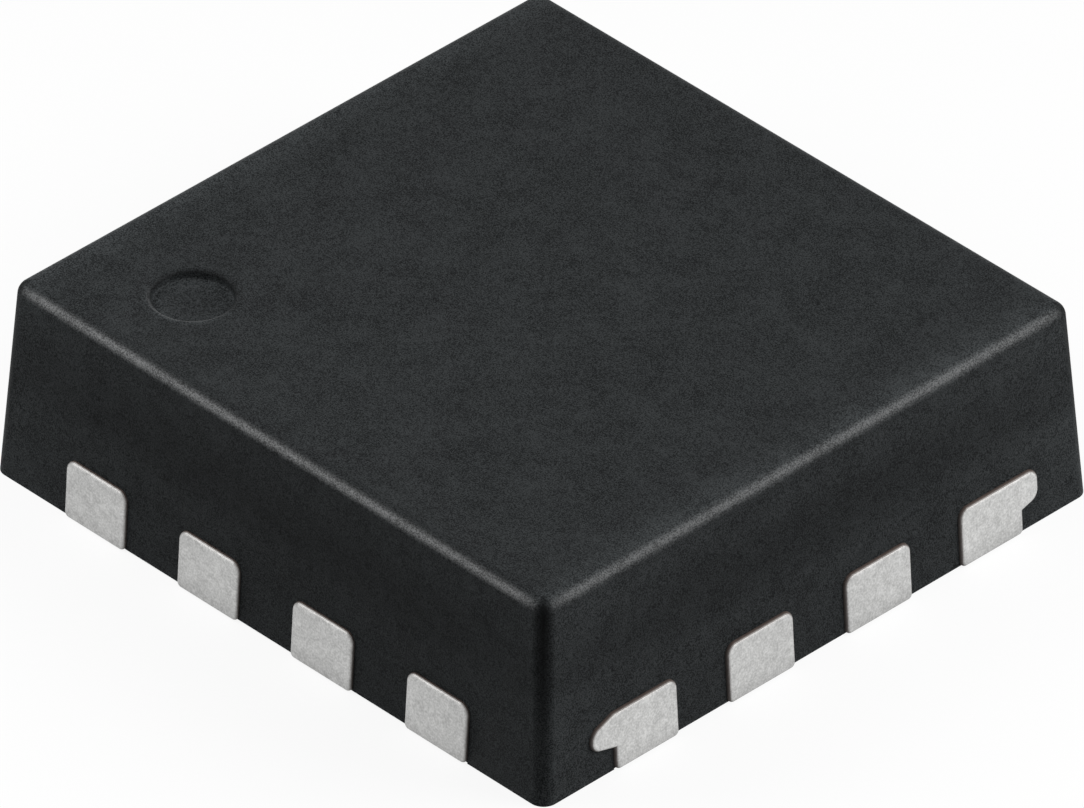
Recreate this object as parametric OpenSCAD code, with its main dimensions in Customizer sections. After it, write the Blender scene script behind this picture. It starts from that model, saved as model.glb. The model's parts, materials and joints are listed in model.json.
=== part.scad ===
// Sixteen-lead quad flat package without gull wings: a black moulded body with short
// tin-plated leads flush in its sides, an etched lead frame, a bonded die and its wires.
// Origin at the centre of the seating plane, +Z up, lead 1 at the -X end of the -Y side.

/* [Body] */
// Length of the moulded body along X, at its foot
body_x = 3.15; // [2.9:0.01:4.5]
// Width of the moulded body along Y, at its foot
body_y = 3.03; // [2.9:0.01:4.5]
// Height of the body above the seating plane
body_h = 0.925; // [0.75:0.005:1.4]
// Draft of the four side faces, in degrees
draft = 3.8; // [1:0.1:9]
// Radius of the top edges and of the upright corners
edge_r = 0.065; // [0.02:0.001:0.09]
// How far the underside stands back between the four corner feet
relief = 0.006; // [0.004:0.001:0.03]

/* [Dimple] */
// Diameter of the round recess that marks lead 1
dimple_d = 0.33; // [0.2:0.01:0.5]
// Depth of the recess
dimple_depth = 0.045; // [0.04:0.005:0.08]
// From the recess's centre to the foot of the -X side
dimple_from_x = 0.63; // [0.45:0.01:0.9]
// From the recess's centre to the foot of the -Y side
dimple_from_y = 0.51; // [0.45:0.01:0.9]
// Radius round the floor of the recess
dimple_floor_r = 0.01; // [0.005:0.001:0.01]
// Radius of the recess's rim
dimple_rim_r = 0.025; // [0.005:0.001:0.03]

/* [Leads] */
// Distance between neighbouring lead centres
lead_pitch = 0.65; // [0.62:0.005:0.65]
// How far the end leads of the X sides stand in towards their neighbours
end_shift = 0.02; // [0:0.005:0.05]
// Width of a lead
lead_w = 0.345; // [0.28:0.005:0.36]
// Width of the two middle leads of an X side
mid_lead_w = 0.365; // [0.28:0.005:0.37]
// Thickness of the lead frame
lead_t = 0.272; // [0.2:0.001:0.3]
// How far a lead's end stands out of the body's side
lead_proud = 0.018; // [0.005:0.001:0.03]
// Length of the land that each lead shows on the underside
land_l = 0.26; // [0.2:0.01:0.28]
// Length of the etched lip at a lead's inner end
lip_l = 0.05; // [0.03:0.005:0.06]
// Height that the etching takes off the underside of lips, webs and ears
etch_h = 0.108; // [0.08:0.001:0.14]
// Radius that the etching leaves in a step's corner
etch_r = 0.05; // [0.02:0.005:0.07]
// Radius of a lead's upper corners at the side face
lead_top_r = 0.048; // [0.01:0.001:0.06]
// Radius of a lead's lower corners at the side face
lead_foot_r = 0.025; // [0.005:0.001:0.04]
// Radius of a lead's inner corners, seen from above
lead_tip_r = 0.08; // [0.03:0.005:0.12]

/* [Ears] */
// Reach of the long ear, on the first end lead of an X side
ear_long = 0.125; // [0.1:0.001:0.15]
// Reach of the short ear, on the last end lead of an X side
ear_short = 0.09; // [0.08:0.001:0.12]
// Length of an ear, from the side face inwards
ear_depth = 0.15; // [0.08:0.01:0.2]
// Rise of an ear's underside towards its tip, in degrees
ear_rise = 15; // [0:0.5:20]
// Fall of the long ear's top towards its tip, in degrees
ear_fall = 20; // [0:0.5:25]
// Radius of an ear's upper corner
ear_top_r = 0.055; // [0.03:0.001:0.08]
// Radius of an ear's lower corner
ear_foot_r = 0.055; // [0.02:0.001:0.06]

/* [Die pad] */
// Length of the die pad's bare underside along X
pad_x = 1.80; // [1.6:0.01:1.9]
// Width of the die pad's bare underside along Y
pad_y = 1.70; // [1.5:0.01:1.8]
// Reach of the etched lip round the die pad
pad_lip = 0.06; // [0.04:0.005:0.08]
// Radius of the die pad's corners
pad_r = 0.05; // [0.02:0.005:0.1]
// Chamfer at the die pad's corner beside lead 1
pad_chamfer = 0.28; // [0.15:0.01:0.35]
// Width of the web that ties the die pad to an end lead
web_w = 0.14; // [0.1:0.01:0.16]

/* [Die] */
// Length of the die along X
die_x = 1.25; // [1:0.01:1.4]
// Width of the die along Y
die_y = 1.05; // [0.95:0.01:1.3]
// Thickness of the die
die_t = 0.20; // [0.1:0.01:0.22]
// Thickness of the adhesive under the die
glue_t = 0.02; // [0.01:0.005:0.03]
// How far the adhesive spreads past the die
glue_spread = 0.03; // [0.01:0.005:0.05]

/* [Wires] */
// Diameter of a bond wire
wire_d = 0.025; // [0.02:0.001:0.033]
// Diameter of the ball bond on the die
ball_d = 0.06; // [0.05:0.001:0.07]
// Height of the ball bond
ball_h = 0.015; // [0.01:0.001:0.02]
// Height of a wire's loop over the die
loop_h = 0.14; // [0.11:0.005:0.16]
// Radius of the bend at the top of the loop
bend_r = 0.04; // [0.025:0.001:0.05]
// Diameter of the flattened stitch at the wire's far end
stitch_d = 0.07; // [0.05:0.001:0.09]
// Thickness of the stitch
stitch_t = 0.01; // [0.008:0.001:0.014]
// From a lead's inner end to its stitch
stitch_in = 0.09; // [0.06:0.005:0.12]
// From the die's edge to the middle of its row of balls
ball_in = 0.06; // [0.05:0.005:0.09]
// Distance between neighbouring balls on a Y edge of the die
ball_pitch_y = 0.22; // [0.15:0.005:0.24]
// Distance between neighbouring balls on an X edge of the die
ball_pitch_x = 0.17; // [0.12:0.005:0.2]
// From the die's edge to the stitch of the ground wire on the die pad
ground_out = 0.16; // [0.1:0.005:0.2]

/* [Hidden] */
$fn = 48;

SIDE_LEADS = 4;                                  // leads on each side
FREE_LEADS = [1, 2, 3, 4, 6, 7, 9, 10, 11, 12, 14, 15];
END_LEADS = [5, 8, 13, 16];                      // these carry the die pad on its webs
OVER = 0.1;                                      // how far a cutter runs past what it cuts
BITE = 0.06;                                     // how far joined shapes of one piece overlap
BEND_BITE = 0.003;                               // how far a wire's straights reach into its bend
STRAIGHT_SHARE = 0.97;                           // thickness of the straights against the bend

MOULD_BLACK = [0.13, 0.135, 0.14];
TIN = [0.74, 0.74, 0.73];
SILICON = [0.36, 0.38, 0.44];
GLUE_GREY = [0.62, 0.62, 0.6];
GOLD = [0.86, 0.68, 0.28];

lead_l = land_l + lip_l;
round_z = body_h - edge_r;                        // centre of the round at a top corner
round_in = round_z * tan(draft) + edge_r / cos(draft);
corner_lean = atan(sqrt(2) * tan(draft));        // lean of an upright corner, seen across it
corner_turn = acos(pow(sin(draft), 2));          // angle between the normals of two sides
glue_z = lead_t;
die_z = glue_z + glue_t;
die_top = die_z + die_t;

// Number of a lead's side: 0 is -Y, 1 is +X, 2 is +Y, 3 is -X
function side_of(n) = floor((n - 1) / SIDE_LEADS);
function place_of(n) = (n - 1) % SIDE_LEADS;
function on_x_side(n) = side_of(n) % 2 == 1;
function is_first(n) = place_of(n) == 0;
function is_last(n) = place_of(n) == SIDE_LEADS - 1;
function end_inset(n) = !on_x_side(n) ? 0 : is_first(n) ? end_shift : is_last(n) ? -end_shift : 0;
function along(n, pitch) = (place_of(n) - (SIDE_LEADS - 1) / 2) * pitch;
function lead_along(n) = along(n, lead_pitch) + end_inset(n);
function width_of(n) = on_x_side(n) && !is_first(n) && !is_last(n) ? mid_lead_w : lead_w;
function side_half(n) = (on_x_side(n) ? body_x : body_y) / 2 + lead_proud;
function die_half(n) = (on_x_side(n) ? die_x : die_y) / 2;
// On an X edge of the die only the two middle places have a ball
function ball_along(n) = along(n, on_x_side(n) ? 2 * ball_pitch_x : ball_pitch_y);

// What a round of radius r about the origin takes off, from its normal at 0 to that at turn
module round_cut(r, turn) {
    far = r + OVER;
    difference() {
        polygon([[0, 0], [far, 0], [far, far * tan(turn / 2)], [far * cos(turn), far * sin(turn)]]);
        circle(r);
    }
}

// A rectangle from the origin whose four corners have radii of their own
module round_box(w, h, low_left, low_right, top_right, top_left) {
    difference() {
        square([w, h]);
        corner_cut(low_left);
        translate([w, 0]) rotate(90) corner_cut(low_right);
        translate([w, h]) rotate(180) corner_cut(top_right);
        translate([0, h]) rotate(270) corner_cut(top_left);
    }
}

// The same for a square corner at the origin
module corner_cut(r) {
    if (r > 0) translate([r, r]) rotate(180) round_cut(r, 90);
}

// Stands a 2-D outline up and runs it inwards, from y = 0 to y = depth
module run_in(depth) {
    translate([0, depth, 0]) rotate([90, 0, 0]) linear_extrude(depth) children();
}

// Moves to the middle of lead n's end face at the seating plane, +Y pointing inwards
module at_lead(n) {
    rotate(90 * side_of(n)) translate([lead_along(n), -side_half(n), 0]) children();
}

// The body's upright section: drafted sides and rounds at the top
module side_profile(width) {
    foot = width / 2;
    top = foot - body_h * tan(draft);
    difference() {
        polygon([[-foot, 0], [foot, 0], [top, body_h], [-top, body_h]]);
        for (flip = [0, 1]) mirror([flip, 0]) translate([foot - round_in, round_z])
            rotate(draft) round_cut(edge_r, 90 - draft);
    }
}

// What is cut off an upright corner, with the centre of its top round at the origin:
// all but a leaning cylinder below, all but a ball above
module corner_waste() {
    rotate([0, -corner_lean, 45]) translate([0, 0, -body_h]) linear_extrude(body_h)
        rotate(-corner_turn / 2) round_cut(edge_r, corner_turn);
    difference() {
        intersection() {
            translate([0, 0, -edge_r]) cube(2 * edge_r + OVER);
            rotate([0, -corner_lean, 45]) translate([-body_h, -body_h, 0]) cube(2 * body_h);
        }
        sphere(edge_r);
    }
}

// The body before anything is cut out of it
module body_form() {
    difference() {
        intersection() {
            translate([0, body_y, 0]) rotate([90, 0, 0]) linear_extrude(2 * body_y) side_profile(body_x);
            translate([-body_x, 0, 0]) rotate([90, 0, 90]) linear_extrude(2 * body_x) side_profile(body_y);
        }
        for (x = [0, 1], y = [0, 1]) mirror([x, 0, 0]) mirror([0, y, 0])
            translate([body_x / 2 - round_in, body_y / 2 - round_in, round_z]) corner_waste();
    }
}

// The cross-shaped step of the underside, which leaves a foot at each corner
module underside_relief() {
    reach_x = lead_along(SIDE_LEADS) + lead_w / 2;
    reach_y = lead_along(2 * SIDE_LEADS) + lead_w / 2;
    translate([-reach_x, -body_y, -OVER]) cube([2 * reach_x, 2 * body_y, relief + OVER]);
    translate([-body_x, -reach_y, -OVER]) cube([2 * body_x, 2 * reach_y, relief + OVER]);
}

module lead_one_dimple() {
    wall = dimple_d / 2;
    translate([dimple_from_x - body_x / 2, dimple_from_y - body_y / 2, body_h - dimple_depth])
        rotate_extrude() {
            difference() {
                square([wall, dimple_depth + OVER]);
                translate([wall, 0]) rotate(90) corner_cut(dimple_floor_r);
            }
            translate([wall, dimple_depth - dimple_rim_r]) difference() {
                square([dimple_rim_r, dimple_rim_r + OVER]);
                translate([dimple_rim_r, 0]) circle(dimple_rim_r);
            }
        }
}

// All that lies behind the leads' leaning end faces, up to their top
module behind_ends(width, depth) {
    translate([-width / 2, 0, 0]) rotate([90, 0, 90]) linear_extrude(width)
        polygon([[0, 0], [depth, 0], [depth, lead_t], [lead_t * tan(draft), lead_t]]);
}

// One lead: rounded at the side face, etched under its inner lip, round at its inner corners
module lead_form(w) {
    difference() {
        intersection() {
            behind_ends(w + OVER, lead_l);
            translate([-w / 2, 0, 0])
                run_in(lead_l) round_box(w, lead_t, lead_foot_r, lead_foot_r, lead_top_r, lead_top_r);
            translate([-w / 2, -OVER, -OVER]) linear_extrude(lead_t + 2 * OVER)
                round_box(w, lead_l + OVER, 0, 0, lead_tip_r, lead_tip_r);
        }
        translate([-w / 2 - OVER, land_l, -OVER]) rotate([90, 0, 90]) linear_extrude(w + 2 * OVER)
            round_box(lip_l + OVER, etch_h + OVER, 0, 0, 0, etch_r);
    }
}

// An ear's outline at the side face, from the lead's flank outwards and the etched level up
module ear_outline(reach, fall) {
    h = lead_t - etch_h;
    tip_h = h - reach * (tan(ear_rise) + tan(fall));
    // Height that a round of radius 1 takes at the tip, at its foot and at its top
    foot_share = 1 / cos(ear_rise) - tan(ear_rise);
    top_share = 1 / cos(fall) - tan(fall);
    foot_r = min(ear_foot_r, tip_h / 2 / foot_share);
    top_r = min(ear_top_r, tip_h / 2 / top_share);
    foot_x = reach - foot_r;
    foot_y = (foot_r + foot_x * sin(ear_rise)) / cos(ear_rise);
    top_x = reach - top_r;
    top_y = h - top_x * tan(fall) - top_r / cos(fall);
    difference() {
        translate([-BITE, 0]) square([reach + BITE, h]);
        rotate(ear_rise) translate([0, -2 * OVER]) square(2 * OVER);
        translate([0, h]) rotate(-fall) square(2 * OVER);
        translate([foot_x, foot_y]) rotate(ear_rise - 90) round_cut(foot_r, 90 - ear_rise);
        translate([top_x, top_y]) round_cut(top_r, 90 - fall);
    }
}

// The half-thick ear of end lead n: long and on its first flank, or short and on its last
module ear(n) {
    reach = is_first(n) ? ear_long : ear_short;
    intersection() {
        behind_ends(lead_w + 4 * OVER, ear_depth);
        mirror([is_first(n) ? 1 : 0, 0, 0]) translate([lead_w / 2, 0, etch_h])
            run_in(ear_depth) ear_outline(reach, is_first(n) ? ear_fall : 0);
    }
}

// Outline of the die pad, grown by spread, with the lead 1 corner cut off
module pad_outline(spread) {
    w = pad_x + 2 * spread;
    h = pad_y + 2 * spread;
    difference() {
        translate([-w / 2, -h / 2]) round_box(w, h, 0, pad_r, pad_r, pad_r);
        translate([-w / 2, -h / 2]) rotate(45) square(sqrt(2) * pad_chamfer, center = true);
    }
}

// The half-thick web from the die pad's corner to the inner end of an end lead
module pad_web(n) {
    sx = side_of(n) == 1 ? 1 : -1;
    sy = sx * (is_first(n) ? -1 : 1);
    from = [sx * pad_x / 2 - sx * web_w, sy * pad_y / 2 - sy * web_w];
    to = [sx * (side_half(n) - lead_l + BITE), sx * lead_along(n)];
    run = to - from;
    translate([from[0], from[1], etch_h]) rotate(atan2(run[1], run[0]))
        translate([0, -web_w / 2, 0]) cube([norm(run), web_w, lead_t - etch_h]);
}

module die_pad_form() {
    linear_extrude(lead_t) pad_outline(0);
    translate([0, 0, etch_h]) linear_extrude(lead_t - etch_h) pad_outline(pad_lip);
    for (n = END_LEADS) {
        pad_web(n);
        at_lead(n) {
            lead_form(lead_w);
            ear(n);
        }
    }
}

module die_adhesive_form() {
    w = die_x + 2 * glue_spread;
    h = die_y + 2 * glue_spread;
    translate([-w / 2, -h / 2, glue_z]) linear_extrude(glue_t)
        round_box(w, h, glue_spread, glue_spread, glue_spread, glue_spread);
}

module die_form() {
    translate([-die_x / 2, -die_y / 2, die_z]) cube([die_x, die_y, die_t]);
}

// A wire from a ball at the origin, over a loop, down to a stitch at [run, 0, -drop].
// Its straights are a hair thinner than its bend and end just inside it.
module wire_form(run, drop) {
    wire_r = wire_d / 2;
    straight_r = wire_r * STRAIGHT_SHARE;
    bend_z = loop_h - bend_r - wire_r;
    away = run - bend_r;
    down = bend_z + drop;
    reach = norm([away, down]);
    slope = atan2(down, away) + asin(bend_r / reach);
    start = [bend_r * (1 + sin(slope)), bend_z + bend_r * cos(slope)];
    straight = sqrt(reach * reach - bend_r * bend_r);

    rotate_extrude() polygon([
        [0, 0], [ball_d / 2, 0], [ball_d / 2, ball_h / 2],
        [straight_r, ball_h * 1.5], [straight_r, bend_z + BEND_BITE], [0, bend_z + BEND_BITE]
    ]);
    translate([bend_r, 0, bend_z]) rotate([90, 0, 0])
        rotate_extrude(angle = 90 + slope, start = 90 - slope) translate([bend_r, 0]) circle(wire_r);
    difference() {
        union() {
            translate([start[0], 0, start[1]]) rotate([0, 90 + slope, 0])
                translate([0, 0, -BEND_BITE]) cylinder(r = straight_r, h = straight + wire_d / tan(slope));
            translate([run, 0, -drop - OVER]) cylinder(d = stitch_d, h = OVER + stitch_t);
        }
        translate([-OVER, -OVER, -drop - 2 * OVER]) cube([run + 2 * OVER, 2 * OVER, 2 * OVER]);
    }
}

// A wire between two points given as [x, y], from the die's top down to height z
module wire_between(from, to, z) {
    run = to - from;
    translate([from[0], from[1], die_top]) rotate(atan2(run[1], run[0]))
        wire_form(norm(run), die_top - z);
}

module bond_wire_form(n) {
    rotate(90 * side_of(n)) wire_between(
        [ball_along(n), ball_in - die_half(n)],
        [lead_along(n), lead_l - stitch_in - side_half(n)],
        lead_t);
}

module ground_wire_form() {
    wire_between([die_x / 2 - ball_in, 0], [die_x / 2 + ground_out, 0], lead_t);
}

module mould_body() {
    color(MOULD_BLACK) difference() {
        body_form();
        underside_relief();
        lead_one_dimple();
        die_pad_form();
        die_adhesive_form();
        die_form();
        for (n = FREE_LEADS) at_lead(n) lead_form(width_of(n));
        for (n = FREE_LEADS) bond_wire_form(n);
        ground_wire_form();
    }
}

module die_pad() {
    color(TIN) die_pad_form();
}

module lead(n) {
    color(TIN) at_lead(n) lead_form(width_of(n));
}

module die_adhesive() {
    color(GLUE_GREY) die_adhesive_form();
}

module die() {
    color(SILICON) die_form();
}

module bond_wire(n) {
    color(GOLD) bond_wire_form(n);
}

module ground_wire() {
    color(GOLD) ground_wire_form();
}

mould_body();
die_pad();
lead(1);  // lead_1
lead(2);  // lead_2
lead(3);  // lead_3
lead(4);  // lead_4
lead(6);  // lead_6
lead(7);  // lead_7
lead(9);  // lead_9
lead(10);  // lead_10
lead(11);  // lead_11
lead(12);  // lead_12
lead(14);  // lead_14
lead(15);  // lead_15
die_adhesive();
die();
bond_wire(1);  // bond_wire_1
bond_wire(2);  // bond_wire_2
bond_wire(3);  // bond_wire_3
bond_wire(4);  // bond_wire_4
bond_wire(6);  // bond_wire_6
bond_wire(7);  // bond_wire_7
bond_wire(9);  // bond_wire_9
bond_wire(10);  // bond_wire_10
bond_wire(11);  // bond_wire_11
bond_wire(12);  // bond_wire_12
bond_wire(14);  // bond_wire_14
bond_wire(15);  // bond_wire_15
ground_wire();
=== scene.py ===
# A memory chip with sixteen leads flush in its sides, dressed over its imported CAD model.
# Pieces are shaped in millimetres and brought down to metres once they are plain meshes.
import json
import math

import bpy
from mathutils import Euler, Matrix, Vector

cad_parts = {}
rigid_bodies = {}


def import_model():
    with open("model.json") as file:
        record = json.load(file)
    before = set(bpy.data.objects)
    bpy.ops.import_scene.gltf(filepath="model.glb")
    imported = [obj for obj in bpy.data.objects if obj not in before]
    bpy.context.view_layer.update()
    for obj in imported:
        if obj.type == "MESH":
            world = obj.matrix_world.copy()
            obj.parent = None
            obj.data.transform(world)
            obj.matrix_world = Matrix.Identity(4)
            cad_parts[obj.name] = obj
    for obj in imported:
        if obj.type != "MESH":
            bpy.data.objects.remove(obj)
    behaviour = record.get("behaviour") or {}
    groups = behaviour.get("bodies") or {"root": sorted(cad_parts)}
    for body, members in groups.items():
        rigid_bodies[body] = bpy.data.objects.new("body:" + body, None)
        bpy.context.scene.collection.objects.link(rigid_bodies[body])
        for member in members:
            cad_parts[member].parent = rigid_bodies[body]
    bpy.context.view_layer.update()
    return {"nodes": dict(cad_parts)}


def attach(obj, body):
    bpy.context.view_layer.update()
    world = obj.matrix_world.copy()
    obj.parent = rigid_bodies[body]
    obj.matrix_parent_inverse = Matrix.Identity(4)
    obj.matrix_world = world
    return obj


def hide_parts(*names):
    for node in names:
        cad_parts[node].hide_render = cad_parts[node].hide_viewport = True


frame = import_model()
scene = bpy.context.scene
scene.view_settings.view_transform = "Standard"
millimetre = 0.001
quarterTurn = math.pi / 2
print("frame: %d nodes" % len(frame["nodes"]))

# what all the shapes share, in millimetres and degrees
shaping = {
    "same": 0.00001,  # points of a tree closer than this become one
    "near": 0.0001,  # less than this counts as nothing
    "endFace": 0.001,  # points this near a lead's outer end lie in its end face
    "over": 0.1,  # how far a cutter runs past what it cuts
    "slack": 0.01,  # what a whole number may be off by in a tree's sums
    "flat": 0.5,  # faces that meet at less than this angle are joined before edges are rounded
    "faceWeight": 50,  # how firmly broad faces stay flat in shading beside a round
}
leadsPerSide = 4


class Plug:
    # a node's output that can be used in a sum; each operator adds a Math node
    def __init__(self, sheet, socket):
        self.sheet = sheet
        self.socket = socket

    def also(self, name):
        return Plug(self.sheet, self.socket.node.outputs[name])

    def calc(self, operation, *values):
        return self.sheet.add("ShaderNodeMath", {"operation": operation}, dict(enumerate(values)))

    def __add__(self, other):
        return self.calc("ADD", self, other)

    def __radd__(self, other):
        return self.calc("ADD", other, self)

    def __sub__(self, other):
        return self.calc("SUBTRACT", self, other)

    def __rsub__(self, other):
        return self.calc("SUBTRACT", other, self)

    def __mul__(self, other):
        return self.calc("MULTIPLY", self, other)

    def __rmul__(self, other):
        return self.calc("MULTIPLY", other, self)

    def __truediv__(self, other):
        return self.calc("DIVIDE", self, other)

    def __rtruediv__(self, other):
        return self.calc("DIVIDE", other, self)

    def __mod__(self, other):
        return self.calc("MODULO", self, other)

    def __rmod__(self, other):
        return self.calc("MODULO", other, self)

    def __gt__(self, other):
        return self.calc("GREATER_THAN", self, other)

    def __lt__(self, other):
        return self.calc("LESS_THAN", self, other)


class Sheet:
    # a node tree while it is drawn
    def __init__(self, tree):
        self.tree = tree

    def add(self, kind, settings=None, sockets=None, out=0):
        node = self.tree.nodes.new(kind)
        for key, value in (settings or {}).items():
            setattr(node, key, value)
        for key, value in (sockets or {}).items():
            if isinstance(value, Plug):
                self.tree.links.new(value.socket, node.inputs[key])
            elif isinstance(value, list):
                for plug in value:
                    self.tree.links.new(plug.socket, node.inputs[key])
            else:
                node.inputs[key].default_value = value
        return Plug(self, node.outputs[out]) if len(node.outputs) else node


def startTree(name, inputs):
    tree = bpy.data.node_groups.new(name, "GeometryNodeTree")
    kinds = {float: "NodeSocketFloat", int: "NodeSocketInt"}
    for label, value in inputs.items():
        kind = kinds.get(type(value), "NodeSocketMaterial")
        socket = tree.interface.new_socket(label, in_out="INPUT", socket_type=kind)
        socket.default_value = value
    tree.interface.new_socket("Geometry", in_out="OUTPUT", socket_type="NodeSocketGeometry")
    sheet = Sheet(tree)
    entry = sheet.add("NodeGroupInput")
    return sheet, {label: entry.also(label) for label in inputs}


def endTree(sheet, geometry, material):
    whole = sheet.add("GeometryNodeRealizeInstances", sockets={0: geometry})
    painted = sheet.add("GeometryNodeSetMaterial", sockets={
        "Geometry": whole, "Material": material})
    sheet.add("NodeGroupOutput", sockets={0: painted})
    return sheet.tree


def newObject(name, mesh=None):
    obj = bpy.data.objects.new(name, mesh or bpy.data.meshes.new(name))
    scene.collection.objects.link(obj)
    return obj


# the evaluated shape becomes the object's own plain mesh, and its modifiers go
def settle(obj):
    shaped = obj.evaluated_get(bpy.context.evaluated_depsgraph_get())
    mesh = bpy.data.meshes.new_from_object(shaped)
    mesh.name = obj.name
    obj.modifiers.clear()
    obj.data = mesh
    return obj


def grow(name, tree, values):
    obj = newObject(name)
    modifier = obj.modifiers.new("Grow", "NODES")
    modifier.node_group = tree
    for item in tree.interface.items_tree:
        if item.in_out == "INPUT" and item.name in values:
            modifier[item.identifier] = values[item.name]
    return settle(obj)


def combine(obj, others, operation):
    for other in others:
        modifier = obj.modifiers.new(other.name, "BOOLEAN")
        modifier.operation = operation
        modifier.solver = "EXACT"
        modifier.object = other
    return settle(obj)


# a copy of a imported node, its loose triangles joined, brought up to millimetres
def copyOfNode(node):
    mesh = frame["nodes"][node].data.copy()
    mesh.transform(Matrix.Scale(1 / millimetre, 4))
    obj = newObject(node + "Copy", mesh)
    weld = obj.modifiers.new("Weld", "WELD")
    weld.merge_threshold = shaping["near"]
    return settle(obj)


def discard(objs):
    for obj in objs:
        bpy.data.meshes.remove(obj.data)


# rounds the edges that have a wanted face on one side only
def softenEdges(obj, width, steps, isWanted):
    flat = obj.modifiers.new("Flat", "DECIMATE")
    flat.decimate_type = "DISSOLVE"
    flat.angle_limit = math.radians(shaping["flat"])
    mesh = settle(obj).data
    wanted = {}
    for face in mesh.polygons:
        for edge in face.edge_keys:
            wanted.setdefault(edge, []).append(isWanted(face))
    weights = mesh.attributes.new("bevel_weight_edge", "FLOAT", "EDGE")
    for edge in mesh.edges:
        weights.data[edge.index].value = len(set(wanted[edge.key])) == 2
    bevel = obj.modifiers.new("Soften", "BEVEL")
    bevel.width = width
    bevel.segments = steps
    bevel.limit_method = "WEIGHT"
    bevel.use_clamp_overlap = False
    return settle(obj)


# smooth shading that keeps broad faces flat, then down to metres; the normals are set again
# there, because stored ones are kept relative to those of the mesh and tiny faces lose them
def finishShape(obj, sharpAngle):
    obj.data.shade_smooth()
    obj.data.set_sharp_from_angle(angle=math.radians(sharpAngle))
    weighted = obj.modifiers.new("Weigh", "WEIGHTED_NORMAL")
    weighted.keep_sharp = True
    weighted.weight = shaping["faceWeight"]
    mesh = settle(obj).data
    normals = [tuple(corner.vector) for corner in mesh.corner_normals]
    mesh.transform(Matrix.Scale(millimetre, 4))
    mesh.normals_split_custom_set(normals)


# a prism on z = 0, with one radius for its two corners at high y and one for those at low y
def prismTree():
    sheet, size = startTree("rounded prism", {
        "Width": 1.0, "Height": 1.0, "Depth": 1.0, "High radius": 0.0, "Low radius": 0.0,
        "Corner steps": 10, "Material": None})
    box = sheet.add("GeometryNodeCurvePrimitiveQuadrilateral", sockets={
        "Width": size["Width"], "Height": size["Height"]})
    place = sheet.add("GeometryNodeInputPosition")
    isHigh = sheet.add("ShaderNodeSeparateXYZ", sockets={0: place}, out="Y") > 0.0
    radius = isHigh * size["High radius"] + (1.0 - isHigh) * size["Low radius"]
    outline = sheet.add("GeometryNodeFilletCurve", {"mode": "POLY"}, {
        "Curve": box, "Count": size["Corner steps"], "Radius": radius})
    bottom = sheet.add("GeometryNodeFillCurve", {"mode": "NGONS"}, {0: outline})
    up = sheet.add("ShaderNodeCombineXYZ", sockets={"Z": size["Depth"]})
    walls = sheet.add("GeometryNodeExtrudeMesh", sockets={
        "Mesh": bottom, "Offset": up, "Offset Scale": 1.0, "Individual": False})
    floor = sheet.add("GeometryNodeFlipFaces", sockets={0: bottom})
    joined = sheet.add("GeometryNodeJoinGeometry", sockets={0: [floor, walls]})
    closed = sheet.add("GeometryNodeMergeByDistance", sockets={
        "Geometry": joined, "Distance": shaping["same"]})
    return endTree(sheet, closed, size["Material"])


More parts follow.
